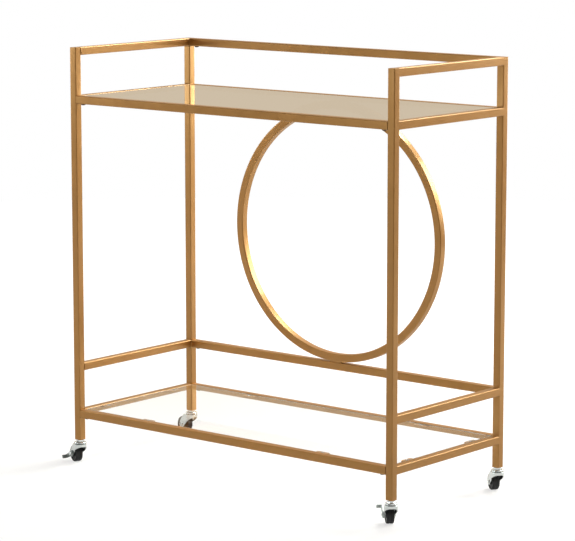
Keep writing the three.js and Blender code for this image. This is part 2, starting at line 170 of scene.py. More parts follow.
# Gold powder coat: polyester powder with mica, baked on under a clear skin. The mica gives a warm
# metallic gleam on lit faces and a browner gold in the shade, and the bake a faint orange peel.
def goldPowderCoat():
    look = {
        "shades": ("9a6128", "925b23"),
        "clouds": (60, 3),
        "gleam": "ffd890",  # what the mica sends back
        "metallic": 0.2,
        "skin": 0.2,
        "skinRough": 0.13,
        "film": (25, 4),
        "rough": (0.29, 0.35),
        "peel": 1.6,  # a real peel is nearer 0.5 mm, which would not show
    }
    material, tree, place = startMaterial("gold_powder_coat")
    tint, rough = addClouds(tree, place, place, look)
    peel = addNode(
        tree, "ShaderNodeTexNoise", inputs={"Vector": place, "Scale": each(look["peel"]), "Detail": 1}
    )
    bump = addNode(
        tree, "ShaderNodeBump", inputs={"Height": peel, "Distance": 0.008 * mm, "Strength": 0.5}
    )
    surface = addNode(
        tree,
        "ShaderNodeBsdfPrincipled",
        inputs={
            "Base Color": tint,
            "Metallic": look["metallic"],
            "Roughness": rough,
            "IOR": 2.0,  # the mica sends back more light than plain polyester does
            "Specular IOR Level": 1.0,
            "Specular Tint": colour(look["gleam"]),
            "Coat Weight": look["skin"],
            "Coat Roughness": look["skinRough"],
            "Normal": bump,
        },
    )
    addNode(tree, "ShaderNodeOutputMaterial", inputs={"Surface": surface})
    return material


# Tempered soda-lime float glass: clear seen from above, and a mirror seen nearly edge on.
# Lamps shine through it onto what is below.
def clearGlass():
    look = {
        "tint": "feffff",
        "lampTint": "f6f9f7",
        "turnsMirror": (0.75, 0.88),  # from seen from above to seen nearly edge on
        "mirror": (0.03, 0.985),
        "film": (90, 3),  # where it was wiped
        "filmSpan": (0.4, 0.75),
        "rough": (0.01, 0.05),
    }
    material, tree, place = startMaterial("tempered_float_glass")
    through = addNode(
        tree,
        "ShaderNodeBsdfRefraction",
        inputs={"Color": colour(look["tint"]), "IOR": glassIor, "Roughness": 0},
    )
    along = addNode(tree, "ShaderNodeMapping", inputs={"Vector": place, "Scale": (1, 0.3, 1)})
    rough = addFilm(tree, along, look)
    sheen = addNode(
        tree, "ShaderNodeBsdfGlossy", inputs={"Color": (1, 1, 1, 1), "Roughness": rough}
    )
    edgeOn = addNode(tree, "ShaderNodeLayerWeight", inputs={"Blend": 0.5}).outputs["Facing"]
    share = addNode(
        tree,
        "ShaderNodeMapRange",
        {"interpolation_type": "SMOOTHSTEP"},
        {
            "Value": edgeOn,
            "From Min": look["turnsMirror"][0],
            "From Max": look["turnsMirror"][1],
            "To Min": look["mirror"][0],
            "To Max": look["mirror"][1],
        },
    )
    pane = addNode(tree, "ShaderNodeMixShader", inputs={0: share, 1: through, 2: sheen})
    clear = addNode(
        tree, "ShaderNodeBsdfTransparent", inputs={"Color": colour(look["lampTint"])}
    )
    shadowRay = addNode(tree, "ShaderNodeLightPath").outputs["Is Shadow Ray"]
    both = addNode(tree, "ShaderNodeMixShader", inputs={0: shadowRay, 1: pane, 2: clear})
    addNode(tree, "ShaderNodeOutputMaterial", inputs={"Surface": both})
    return material


# The ground edge of the float glass: frosted, and green with the depth of the sheet
def groundGlass():
    look = {"glass": "e2eae0", "clear": 0.85, "rough": 0.35, "scratch": 0.8}
    material, tree, place = startMaterial("ground_glass_edge")
    along = addNode(tree, "ShaderNodeMapping", inputs={"Vector": place, "Scale": (0.15, 0.15, 1)})
    scratch = addNode(
        tree,
        "ShaderNodeTexNoise",
        inputs={"Vector": along, "Scale": each(look["scratch"]), "Detail": 2},
    )
    bump = addNode(
        tree, "ShaderNodeBump", inputs={"Height": scratch, "Distance": 0.02 * mm, "Strength": 0.4}
    )
    surface = addNode(
        tree,
        "ShaderNodeBsdfPrincipled",
        inputs={
            "Base Color": colour(look["glass"]),
            "Transmission Weight": look["clear"],
            "IOR": glassIor,
            "Roughness": look["rough"],
            "Normal": bump,
        },
    )
    addNode(tree, "ShaderNodeOutputMaterial", inputs={"Surface": surface})
    return material


# Bright chrome on pressed steel: the press leaves faint draw lines under the plate
def chromePlate():
    look = {"plate": "d8dddc", "film": (6, 4), "rough": (0.06, 0.16), "lines": 2.2}
    material, tree, place = startMaterial("bright_chrome_plate")
    drawn = addNode(tree, "ShaderNodeMapping", inputs={"Vector": place, "Scale": (1, 1, 0.35)})
    lines = addNode(
        tree, "ShaderNodeTexNoise", inputs={"Vector": drawn, "Scale": each(look["lines"]), "Detail": 3}
    )
    bump = addNode(
        tree, "ShaderNodeBump", inputs={"Height": lines, "Distance": 0.05 * mm, "Strength": 0.35}
    )
    surface = addNode(
        tree,
        "ShaderNodeBsdfPrincipled",
        inputs={
            "Base Color": colour(look["plate"]),
            "Metallic": 1.0,
            "Roughness": addFilm(tree, place, look),
            "Normal": bump,
        },
    )
    addNode(tree, "ShaderNodeOutputMaterial", inputs={"Surface": surface})
    return material


# Zinc plate with a thin dark passivate: grey-green, satin, a little cloudy
def passivatedZinc():
    look = {
        "shades": ("b9c0bd", "8f9593"),
        "clouds": (5, 4),
        "film": (3, 3),
        "rough": (0.29, 0.4),
    }
    material, tree, place = startMaterial("passivated_zinc_plate")
    tint, rough = addClouds(tree, place, place, look)
    surface = addNode(
        tree,
        "ShaderNodeBsdfPrincipled",
        inputs={"Base Color": tint, "Metallic": 1.0, "Roughness": rough},
    )
    addNode(tree, "ShaderNodeOutputMaterial", inputs={"Surface": surface})
    return material


# Black oxide on screw steel: nearly black, and brown where the film is thin
def blackOxide():
    look = {
        "shades": ("3b332c", "55463a"),
        "clouds": (2.5, 4),
        "film": (1.5, 3),
        "rough": (0.4, 0.55),
    }
    material, tree, place = startMaterial("black_oxide_screw")
    tint, rough = addClouds(tree, place, place, look)
    surface = addNode(
        tree,
        "ShaderNodeBsdfPrincipled",
        inputs={"Base Color": tint, "Metallic": 0.9, "Roughness": rough},
    )
    addNode(tree, "ShaderNodeOutputMaterial", inputs={"Surface": surface})
    return material


# Black polypropylene, injection moulded: fine spark grain, greyer where it has rolled
def mouldedPolypropylene():
    look = {
        "shades": ("0e0e10", "1c1c1e"),
        "clouds": (7, 4),
        "cloudSpan": (0.5, 0.8),
        "film": (4, 3),
        "rough": (0.42, 0.58),
        "grain": 0.5,
    }
    material, tree, place = startMaterial("moulded_polypropylene")
    tint, rough = addClouds(tree, place, place, look)
    spark = addNode(
        tree, "ShaderNodeTexNoise", inputs={"Vector": place, "Scale": each(look["grain"]), "Detail": 2}
    )
    bump = addNode(
        tree, "ShaderNodeBump", inputs={"Height": spark, "Distance": 0.02 * mm, "Strength": 0.5}
    )
    surface = addNode(
        tree,
        "ShaderNodeBsdfPrincipled",
        inputs={"Base Color": tint, "IOR": 1.49, "Roughness": rough, "Normal": bump},
    )
    addNode(tree, "ShaderNodeOutputMaterial", inputs={"Surface": surface})
    return material


# Black nylon, injection moulded: matt, with flow marks from the mould
def mouldedNylon():
    look = {
        "shades": ("202022", "2c2c2e"),
        "clouds": (4, 3),
        "film": (3, 3),
        "rough": (0.5, 0.65),
    }
    material, tree, place = startMaterial("moulded_nylon")
    along = addNode(tree, "ShaderNodeMapping", inputs={"Vector": place, "Scale": (1, 1, 0.3)})
    tint, rough = addClouds(tree, along, place, look)
    surface = addNode(
        tree,
        "ShaderNodeBsdfPrincipled",
        inputs={"Base Color": tint, "IOR": 1.53, "Roughness": rough},
    )
    addNode(tree, "ShaderNodeOutputMaterial", inputs={"Surface": surface})
    return material


# Soft clear vinyl, cast in drops: nearly clear, with a soft sheen
def clearVinyl():
    look = {"vinyl": "f6f8f6", "clear": 0.95, "film": (2, 3), "rough": (0.1, 0.2)}
    material, tree, place = startMaterial("clear_vinyl")
    surface = addNode(
        tree,
        "ShaderNodeBsdfPrincipled",
        inputs={
            "Base Color": colour(look["vinyl"]),
            "Transmission Weight": look["clear"],
            "IOR": 1.53,
            "Roughness": addFilm(tree, place, look),
        },
    )
    addNode(tree, "ShaderNodeOutputMaterial", inputs={"Surface": surface})
    return material


paint = goldPowderCoat()
glass = clearGlass()
groundEdge = groundGlass()
chrome = chromePlate()
leverPlate = passivatedZinc()
screwBlack = blackOxide()
wheelBlack = mouldedPolypropylene()
plugBlack = mouldedNylon()
vinyl = clearVinyl()
print("bar cart: materials made")


# turns a bmesh into a piece that rides on a body; edges sharper than smooth, in degrees, stay sharp
def finishPiece(name, mesh, materials, body, replaced=(), smooth=40, keepFlat=True):
    bmesh.ops.recalc_face_normals(mesh, faces=mesh.faces)
    data = bpy.data.meshes.new(name)
    mesh.to_mesh(data)
    mesh.free()
    for material in materials:
        data.materials.append(material)
    data.shade_smooth()
    data.set_sharp_from_angle(angle=math.radians(smooth))
    piece = bpy.data.objects.new(name, data)
    bpy.context.scene.collection.objects.link(piece)
    if keepFlat:
        weighted = piece.modifiers.new("flat_faces", "WEIGHTED_NORMAL")
        weighted.keep_sharp = True
    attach(piece, body)
    if replaced:
        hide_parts(*replaced)
    return piece


def bevelEdges(mesh, edges, offset, segments=3):
    bmesh.ops.bevel(
        mesh,
        geom=edges,
        affect="EDGES",
        offset=offset,
        segments=segments,
        profile=0.5,
        material=-1,
        clamp_overlap=True,
    )


# a block between two corners; returns its vertices
def addBlock(mesh, low, high):
    low, high = Vector(low), Vector(high)
    made = bmesh.ops.create_cube(mesh, size=1.0)["verts"]
    bmesh.ops.scale(mesh, vec=high - low, verts=made)
    bmesh.ops.translate(mesh, vec=(low + high) / 2, verts=made)
    return made


def edgesOf(verts):
    return list(dict.fromkeys(edge for vert in verts for edge in vert.link_edges))


# the edges between these vertices that run along x, y or z
def edgesAlong(verts, axis):
    index = "xyz".index(axis)
    found = []
    for edge in edgesOf(verts):
        run = edge.verts[1].co - edge.verts[0].co
        if abs(run[index]) > 0.999 * run.length:
            found.append(edge)
    return found


# a round bar between two points; returns its vertices
def addBar(mesh, radius, start, end, segments=24):
    start, end = Vector(start), Vector(end)
    run = end - start
    made = bmesh.ops.create_cone(
        mesh,
        cap_ends=True,
        segments=segments,
        radius1=radius,
        radius2=radius,
        depth=run.length,
    )["verts"]
    turn = run.to_track_quat("Z", "Y").to_matrix()
    bmesh.ops.rotate(mesh, cent=(0, 0, 0), matrix=turn, verts=made)
    bmesh.ops.translate(mesh, vec=(start + end) / 2, verts=made)
    return made


# a closed or axis-to-axis profile of (radius, station) in mm, spun about y or z
def addTurned(mesh, profile, axis, steps=48):
    across = Vector((1, 0, 0))
    along = Vector((0, 1, 0)) if axis == "y" else Vector((0, 0, 1))
    verts = [mesh.verts.new((across * r + along * h) * mm) for r, h in profile]
    pairs = list(zip(verts, verts[1:]))
    if profile[0][0] > 0:
        pairs.append((verts[-1], verts[0]))
    edges = [mesh.edges.new(pair) for pair in pairs]
    bmesh.ops.spin(
        mesh,
        geom=verts + edges,
        cent=(0, 0, 0),
        axis=along,
        dvec=(0, 0, 0),
        angle=2 * math.pi,
        steps=steps,
        use_merge=True,
        use_duplicate=False,
    )
    bmesh.ops.remove_doubles(mesh, verts=mesh.verts, dist=tiny)


tube = {
    "size": 15 * mm,
    "corner": 1.7 * mm,  # outside radius of a welded 15 mm box section
    "wall": 1.0 * mm,
    "cap": 0.5 * mm,  # softened rim of a post's closed top
    "open": 21 * mm,  # how far up the open end of a post can be seen
}
tab = {
    "width": 28 * mm,
    "sheet": 2 * mm,
    "drop": 5.8 * mm,  # from the rail's upper face to the tab's
    "corner": 3 * mm,
    "crossSpacing": 420 * mm,
    "sideSpacing": 190 * mm,
}


# flat tabs under the glass, welded to a shelf rail's inner face
def addTabs(mesh, node, side, axis):
    railLow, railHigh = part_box(node)
    across = 1 if axis == "x" else 0
    along = 1 - across
    reach = railHigh[across] - railLow[across] - tube["size"]
    root = railLow[across] + tube["size"] if side < 0 else railHigh[across] - tube["size"]
    tip = root - side * reach
    top = railHigh[2] - tab["drop"]
    middle = (middleX, middleY)[along]
    spacing = tab["crossSpacing"] if axis == "x" else tab["sideSpacing"]
    for place in (middle - spacing / 2, middle + spacing / 2):
        low, high = [0, 0, top - tab["sheet"]], [0, 0, top]
        low[across], high[across] = min(root, tip), max(root, tip)
        low[along], high[along] = place - tab["width"] / 2, place + tab["width"] / 2
        plate = addBlock(mesh, low, high)
        outer = [vert for vert in plate if abs(vert.co[across] - tip) < 1e-6]
        bevelEdges(mesh, edgesAlong(outer, "z"), tab["corner"], 5)


# the tube's own box, without the tabs
def railBox(node, side, axis):
    low, high = [list(corner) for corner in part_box(node)]
    across = 1 if axis == "x" else 0
    if side < 0:
        high[across] = low[across] + tube["size"]
    else:
        low[across] = high[across] - tube["size"]
    low[2] = high[2] - tube["size"]
    return low, high


# a side rail runs into its posts to where their faces turn flat, so that the two are flush
def makeRail(node, side, axis, hasTabs):
    mesh = bmesh.new()
    low, high = railBox(node, side, axis)
    if axis == "y":
        low[1] = frontY + tube["size"] - tube["corner"]
        high[1] = backY - tube["size"] + tube["corner"]
    made = addBlock(mesh, low, high)
    bevelEdges(mesh, edgesAlong(made, axis), tube["corner"], 4)
    if hasTabs:
        addTabs(mesh, node, side, axis)
    finishPiece(f"tube_{node}", mesh, [paint], "cart_frame", [node])


def makePost(corner):
    mesh = bmesh.new()
    low, high = [list(end) for end in postBoxes[corner]]
    if "left" in corner:
        high[0] = low[0] + tube["size"]
    else:
        low[0] = high[0] - tube["size"]
    made = addBlock(mesh, low, high)
    bevelEdges(mesh, edgesAlong(made, "z"), tube["corner"], 4)
    top = max(mesh.faces, key=lambda face: face.calc_center_median().z)
    bevelEdges(mesh, list(top.edges), tube["cap"], 2)
    bottom = min(mesh.faces, key=lambda face: face.calc_center_median().z)
    bmesh.ops.inset_region(mesh, faces=[bottom], thickness=tube["wall"])
    raised = bmesh.ops.extrude_face_region(mesh, geom=[bottom])["geom"]
    bmesh.ops.delete(mesh, geom=[bottom], context="FACES_ONLY")
    lifted = [item for item in raised if isinstance(item, bmesh.types.BMVert)]
    bmesh.ops.translate(mesh, vec=(0, 0, tube["open"]), verts=lifted)
    node = f"post_{corner}"
    finishPiece(f"tube_{node}", mesh, [paint], "cart_frame", [node])


for corner in corners:
    makePost(corner)
for name, side, hasTabs in (
    ("hand_rail_back", 1, False),
    ("upper_shelf_rail_front", -1, True),
    ("upper_shelf_rail_back", 1, True),
    ("gallery_rail_back", 1, False),
    ("lower_shelf_rail_front", -1, True),
    ("lower_shelf_rail_back", 1, True),
):
    makeRail(name, side, "x", hasTabs)
sideRails = ("hand_rail", "upper_shelf_rail", "gallery_rail", "lower_shelf_rail")
for name in sideRails:
    makeRail(f"{name}_left", -1, "y", "shelf" in name)
    makeRail(f"{name}_right", 1, "y", "shelf" in name)
print("bar cart: tubes made")

ring = {
    "steps": 180,
    "corner": 1.7 * mm,
    "seatLength": 27 * mm,
    "seatInset": 0.4 * mm,  # the weld is a little narrower than the tube
    "seatSink": 1.0 * mm,  # how far the weld runs into the ring
}


# the weld that fills the gap between the ring and a rail, hollowed to the ring's curve
def addSeat(mesh, spec, centre, outer, up, reach):
    made = bmesh.ops.create_grid(mesh, x_segments=24, y_segments=6, size=0.5)["verts"]
    width = tube["size"] - 2 * spec["seatInset"]
    bmesh.ops.scale(mesh, vec=(spec["seatLength"], width, 1), verts=made)
    bmesh.ops.translate(mesh, vec=centre + Vector((0, 0, up * reach)), verts=made)
    faces = list(dict.fromkeys(face for vert in made for face in vert.link_faces))
    sunk = bmesh.ops.extrude_face_region(mesh, geom=faces)["geom"]
    for vert in [item for item in sunk if isinstance(item, bmesh.types.BMVert)]:
        along = vert.co.x - centre.x
        vert.co.z = centre.z + up * (math.sqrt(outer**2 - along**2) - spec["seatSink"])


def makeRing(spec):
    low, high = [Vector(corner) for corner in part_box("back_ring")]
    centre = (low + high) / 2
    outer = (high.x - low.x) / 2
    reach = (high.z - low.z) / 2
    mesh = bmesh.new()
    half = tube["size"] / 2
    section = bmesh.ops.create_grid(mesh, x_segments=1, y_segments=1, size=half)["verts"]
    bmesh.ops.translate(mesh, vec=(outer - half, 0, 0), verts=section)
    bmesh.ops.bevel(
        mesh,
        geom=section,
        affect="VERTICES",
        offset=spec["corner"],
        segments=4,
        profile=0.5,
        material=-1,
    )
    bmesh.ops.delete(mesh, geom=list(mesh.faces), context="FACES_ONLY")
    bmesh.ops.spin(
        mesh,
        geom=list(mesh.verts) + list(mesh.edges),
        cent=(0, 0, 0),
        axis=(0, 1, 0),
        dvec=(0, 0, 0),
        angle=2 * math.pi,
        steps=spec["steps"],
        use_merge=True,
        use_duplicate=False,
    )
    bmesh.ops.remove_doubles(mesh, verts=mesh.verts, dist=tiny)
    bmesh.ops.translate(mesh, vec=centre, verts=mesh.verts)
    for up in (-1, 1):
        addSeat(mesh, spec, centre, outer, up, reach)
    finishPiece("ring_tube", mesh, [paint], "cart_frame", ["back_ring"])


makeRing(ring)

weld = {
    "radius": 1.4 * mm,
    "ripple": 0.22 * mm,
    "uneven": 0.05 * mm,
    "pitch": 2.6 * mm,
    "runOut": 1.6 * mm,  # length of the bead's thin ends
    "inset": 1.0 * mm,  # from the tube's edges
}


# a rippled bead of weld along a corner
def addBead(mesh, spec, start, end):
    start, end = Vector(start), Vector(end)
    run = end - start
    along = run.normalized()
    made = addBar(mesh, spec["radius"], start, end, 10)
    lengthwise = [
        edge
        for edge in edgesOf(made)
        if abs((edge.verts[1].co - edge.verts[0].co).length - run.length) < 1e-6
    ]
    cuts = max(4, int(run.length / spec["pitch"] * 3))
    bmesh.ops.subdivide_edges(mesh, edges=lengthwise, cuts=cuts)
    for vert in mesh.verts:
        if vert.tag:
            continue
        vert.tag = True
        station = (vert.co - start).dot(along)
        spoke = vert.co - (start + along * station)
        if spoke.length < 1e-6:
            continue
        wave = abs(math.sin(math.pi * station / spec["pitch"]))
        taper = min(1, 0.25 + min(station, run.length - station) / spec["runOut"])
        reach = spec["radius"] - spec["ripple"] * wave + random.uniform(-1, 1) * spec["uneven"]
        vert.co += spoke.normalized() * (reach * taper - spoke.length)


def makeWelds(spec):
    mesh = bmesh.new()
    for name in sideRails:
        for side, handed in ((-1, "left"), (1, "right")):
            low, high = railBox(f"{name}_{handed}", side, "y")
            inner = high[0] if side < 0 else low[0]
            across = (low[0] + spec["inset"], high[0] - spec["inset"])
            upright = (low[2] + spec["inset"], high[2] - spec["inset"])
            for y in (frontY + tube["size"], backY - tube["size"]):
                addBead(mesh, spec, (across[0], y, low[2]), (across[1], y, low[2]))
                addBead(mesh, spec, (inner, y, upright[0]), (inner, y, upright[1]))
                if name != "hand_rail":
                    addBead(mesh, spec, (across[0], y, high[2]), (across[1], y, high[2]))
    finishPiece("weld_beads", mesh, [paint], "cart_frame", keepFlat=False)


makeWelds(weld)
print("bar cart: ring and welds made")

pane = {"corner": 3 * mm, "rim": 0.6 * mm}
bumper = {"radius": 4 * mm, "height": 0.24 * mm, "inset": 6 * mm, "below": 0.03 * mm}


def makePane(node):
    mesh = bmesh.new()
    low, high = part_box(node)
    made = addBlock(mesh, low, high)
    bevelEdges(mesh, edgesAlong(made, "z"), pane["corner"], 6)
    rims = [
        edge
        for edge in mesh.edges
        if abs(edge.verts[0].co.z - edge.verts[1].co.z) < tiny
        and any(abs(face.normal.z) > 0.9 for face in edge.link_faces)
        and any(abs(face.normal.z) < 0.1 for face in edge.link_faces)
    ]
    bevelEdges(mesh, rims, pane["rim"], 2)
    for face in mesh.faces:
        face.material_index = 0 if abs(face.normal.z) > 0.99 else 1
    finishPiece(f"pane_{node}", mesh, [glass, groundEdge], "cart_frame", [node])


# soft dots on the tabs, which the glass rests on
def makeBumpers(spec):
    mesh = bmesh.new()
    for node in ("upper_glass_shelf", "lower_glass_shelf"):
        low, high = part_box(node)
        top = low[2] - spec["below"]
        halfX, halfY = tab["crossSpacing"] / 2, tab["sideSpacing"] / 2
        places = [
            (x, y)
            for x in (middleX - halfX, middleX + halfX)
            for y in (low[1] + spec["inset"], high[1] - spec["inset"])
        ] + [
            (x, y)
            for y in (middleY - halfY, middleY + halfY)
            for x in (low[0] + spec["inset"], high[0] - spec["inset"])
        ]
        for x, y in places:
            addBar(mesh, spec["radius"], (x, y, top - spec["height"]), (x, y, top))
    finishPiece("glass_bumpers", mesh, [vinyl], "cart_frame")


makePane("upper_glass_shelf")
makePane("lower_glass_shelf")
makeBumpers(bumper)
print("bar cart: glass made")

screw = {
    "head": 4.4,
    "height": 2.2,
    "socket": 1.5,  # half across the flats
    "socketDepth": 1.5,
    "land": 1.9,  # radius of the flat round the socket
    "shank": 2.4,
}


# a button-head screw with a six-sided socket, seen from below
def makeScrew(node):
    low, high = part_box(node)
    top = (high[2] - low[2]) / mm
    head, height, land = screw["head"], screw["height"], screw["land"]
    mesh = bmesh.new()
    addTurned(
        mesh,
        [
            (0, 0),
            (land, 0),
            (head * 0.55, 0.06),
            (head * 0.78, 0.34),
            (head * 0.92, 0.9),
            (head, height * 0.8),
            (head, height),
            (screw["shank"], height),
            (screw["shank"], top),
            (0, top),
        ],
        "z",
        24,
    )
    middle = [
        face
        for face in mesh.faces
        if all(abs(vert.co.z) < tiny and vert.co.xy.length < 1.01 * land * mm for vert in face.verts)
    ]
    flat = bmesh.ops.dissolve_faces(mesh, faces=middle)["region"]
    bmesh.ops.inset_region(mesh, faces=flat, thickness=0.05 * mm)
    for vert in [vert for face in flat for vert in face.verts]:
        angle = math.atan2(vert.co.y, vert.co.x)
        fromFlat = (angle + math.pi / 6) % (math.pi / 3) - math.pi / 6
        reach = screw["socket"] * mm / math.cos(fromFlat)
        vert.co.x, vert.co.y = reach * math.cos(angle), reach * math.sin(angle)
    sunk = bmesh.ops.extrude_face_region(mesh, geom=flat)["geom"]
    bmesh.ops.delete(mesh, geom=flat, context="FACES_ONLY")
    deeper = [item for item in sunk if isinstance(item, bmesh.types.BMVert)]
    bmesh.ops.translate(mesh, vec=(0, 0, screw["socketDepth"] * mm), verts=deeper)
    place = ((low[0] + high[0]) / 2, (low[1] + high[1]) / 2, low[2])
    bmesh.ops.translate(mesh, vec=place, verts=mesh.verts)
    finishPiece(f"socket_{node}", mesh, [screwBlack], "cart_frame", [node], smooth=30)


for node in frame["nodes"]:
    if node.startswith("screw_"):
        makeScrew(node)
print("bar cart: screws made")

# casters, in millimetres
caster = {
    "trail": 19,
    "crown": 11.8,
    "crownTop": 38.6,
    "skirtBottom": 33.2,
    "legOut": 9.6,
    "sheet": 1.5,
    "boss": 6.5,
    "bossTurn": 30,  # degrees
    "raisedBoss": 4.6,
    "balls": 30,
    "ballRadius": 0.72,
    "ballCircle": 9.4,
    "ballHeight": 39.35,
    "stemTop": 65,
    "nutTop": 46.7,
    "nut": 7.5,
    "nutEdge": 0.45,
}
wheel = {
    "radius": 16,
    "worn": 0.09,  # off the tread
    "half": 7,
    "edge": 1.6,
    "rim": 3.4,
    "dish": 1.4,
    "hub": 5.5,
    "bore": 2.65,
}
lever = {
    "inside": 9.9,
    "hub": 6.2,
    "hubWidth": 2.4,
    "hubEdge": 0.3,
    "sheet": 1.5,
    "length": 25,
    "root": 4.8,
    "tip": 3.4,
    "tab": 8,
    "tabCorner": 1.4,
    "rib": 0.35,
    "ribSpacing": 1.8,
}


# the caster's own frame: swivel axis at its origin, the axle behind it along x
def casterPlace(corner):
    pivot = Vector(joints[f"swivel_{corner}"]["pos_m"])
    hub = Vector(joints[f"wheel_spin_{corner}"]["pos_m"])
    turn = math.atan2(hub.y - pivot.y, hub.x - pivot.x)
    return Matrix.Translation((pivot.x, pivot.y, 0)) @ Matrix.Rotation(turn, 4, "Z")


def axlePlace(corner):
    trail, radius = caster["trail"] * mm, wheel["radius"] * mm
    return casterPlace(corner) @ Matrix.Translation((trail, 0, radius))


def put(mesh, place):
    bmesh.ops.transform(mesh, matrix=place, verts=mesh.verts)


# kingpin head, pin, race cup and stem in one, with the hexagon collar
def makeStem(corner):
    mesh = bmesh.new()
    top, crown = caster["crownTop"], caster["crown"]
    cup = top + 1.0
    addTurned(
        mesh,
        [
            (0, top - 3.6),
            (3.4, top - 3.6),
            (4.8, top - 3.0),
            (5.2, top - 2.2),
            (5.2, top - 1.8),
            (3.2, top - 1.8),
            (3.2, cup),
            (8.6, cup),
            (8.9, cup + 0.9),
            (10.0, cup + 0.9),
            (10.3, cup),
            (crown - 0.4, cup),
            (crown, cup + 0.4),
            (crown, cup + 1.3),
            (crown - 0.3, cup + 2.1),
            (crown - 1.1, cup + 2.8),
            (crown - 2.4, cup + 3.3),
            (crown - 4.0, cup + 3.4),
            (4.0, cup + 3.4),
            (4.0, caster["stemTop"] - 0.8),
            (3.2, caster["stemTop"]),
            (0, caster["stemTop"]),
        ],
        "z",
        56,
    )
    foot, head = Vector((0, 0, cup + 3.2)) * mm, Vector((0, 0, caster["nutTop"])) * mm
    nut = addBar(mesh, caster["nut"] * mm, foot, head, 6)
    bevelEdges(mesh, edgesOf(nut), caster["nutEdge"] * mm, 2)
    put(mesh, casterPlace(corner))
    node = f"caster_stem_{corner}"
    finishPiece(f"stem_{corner}", mesh, [chrome], "cart_frame", [node], smooth=35)


# a point of the fork seen from above, from one leg's end round the crown to the other's
def forkOutline(share):
    half, crown, end = caster["legOut"], caster["crown"], caster["trail"] + caster["boss"]
    join = math.asin(half / crown)
    straight = end - crown * math.cos(join)
    curved = crown * (2 * math.pi - 2 * join)
    station = share * (2 * straight + curved)
    if station < straight:
        return end - station, -half
    if station > straight + curved:
        return end - (2 * straight + curved - station), half
    angle = -join - (station - straight) / crown
    return crown * math.cos(angle), crown * math.sin(angle)


# a point of a curve that starts at a, ends at c and is drawn towards b
def curvePoint(a, b, c, u):
    return tuple((1 - u) ** 2 * p + 2 * u * (1 - u) * q + u * u * r for p, q, r in zip(a, b, c))


# the fork's lower and upper edge at a distance x behind the swivel axis
def forkEdges(x):
    trail, boss, radius, crown = caster["trail"], caster["boss"], wheel["radius"], caster["crown"]
    turn = math.radians(caster["bossTurn"])
    out, rise = boss * math.cos(turn), boss * math.sin(turn)
    front, back = (trail - out, radius - rise), (trail + out, radius + rise)
    drawnFront, drawnBack = (trail - 2 * boss, radius + boss), (back[0] - 1, back[1] + boss)
    steps = [i / 80 for i in range(81)]
    if x >= front[0]:
        low = radius - math.sqrt(max(0, boss**2 - (x - trail) ** 2))
    else:
        start = (0.3 - crown, caster["skirtBottom"])
        curve = [curvePoint(start, drawnFront, front, u) for u in steps]
        low = min([caster["skirtBottom"]] + [z for at, z in curve if at <= x])
    if x >= back[0]:
        high = radius + math.sqrt(max(0, boss**2 - (x - trail) ** 2))
    else:
        start = (crown, caster["crownTop"])
        curve = [curvePoint(start, drawnBack, back, u) for u in steps]
        high = min([caster["crownTop"] - 0.8] + [z for at, z in curve if at <= x])
    return low, high


# a pressed fork: one bent wall for skirt and legs, a round crown on top, and raised axle bosses
def makeFork(corner):
    mesh = bmesh.new()
    grid = bmesh.ops.create_grid(mesh, x_segments=150, y_segments=12, size=0.5)["verts"]
    for vert in grid:
        x, y = forkOutline(min(1, max(0, vert.co.x + 0.5)))
        low, high = forkEdges(x)
        vert.co = Vector((x, y, low + (high - low) * (vert.co.y + 0.5))) * mm
    bmesh.ops.remove_doubles(mesh, verts=mesh.verts, dist=1e-6)
    bmesh.ops.recalc_face_normals(mesh, faces=mesh.faces)
    front = min(mesh.faces, key=lambda face: face.calc_center_median().x)
    if front.normal.x > 0:
        bmesh.ops.reverse_faces(mesh, faces=mesh.faces)
    bmesh.ops.solidify(mesh, geom=list(mesh.faces), thickness=caster["sheet"] * mm)
    top, crown, sheet = caster["crownTop"], caster["crown"], caster["sheet"]
    addTurned(
        mesh,
        [
            (3.4, top + 0.6),
            (7.4, top + 0.6),
            (8.0, top + 0.3),
            (8.4, top),
            (crown - 2.0, top),
            (crown - 1.1, top - 0.25),
            (crown - 0.4, top - 0.8),
            (crown - 0.05, top - 1.6),
            (crown, top - 2.2),
            (crown - 0.8, top - 2.3),
            (crown - sheet, top - sheet - 0.9),
            (crown - sheet - 1, top - sheet),
            (3.4, top - sheet),
        ],
        "z",
        72,
    )
    axle = Vector((caster["trail"], 0, wheel["radius"]))
    for side in (-1, 1):
        sunk = axle + Vector((0, side * (caster["legOut"] - 0.4), 0))
        raised = axle + Vector((0, side * (caster["legOut"] + 0.22), 0))
        addBar(mesh, caster["raisedBoss"] * mm, sunk * mm, raised * mm, 32)
    put(mesh, casterPlace(corner))
    node, body = f"caster_fork_{corner}", f"swivel_{corner}"
    finishPiece(f"fork_{corner}", mesh, [chrome], body, [node], smooth=38)


# the ring of balls between the fork and the cup
def makeBalls(corner):
    mesh = bmesh.new()
    for i in range(caster["balls"]):
        angle = 2 * math.pi * i / caster["balls"]
        reach = caster["ballCircle"]
        at = Vector((reach * math.cos(angle), reach * math.sin(angle), caster["ballHeight"]))
        size = caster["ballRadius"] * mm
        made = bmesh.ops.create_icosphere(mesh, subdivisions=2, radius=size)["verts"]
        bmesh.ops.translate(mesh, vec=at * mm, verts=made)
    put(mesh, casterPlace(corner))
    finishPiece(f"balls_{corner}", mesh, [chrome], f"swivel_{corner}", keepFlat=False)


# one riveted head, from its seat outwards
def rivetHead(seat):
    return [
        (2.5, seat),
        (3.4, seat),
        (3.4, seat + 0.7),
        (3.1, seat + 1.2),
        (2.5, seat + 1.6),
        (1.7, seat + 1.8),
        (1.1, seat + 1.7),
        (0.7, seat + 1.2),
        (0, seat + 1.1),
    ]


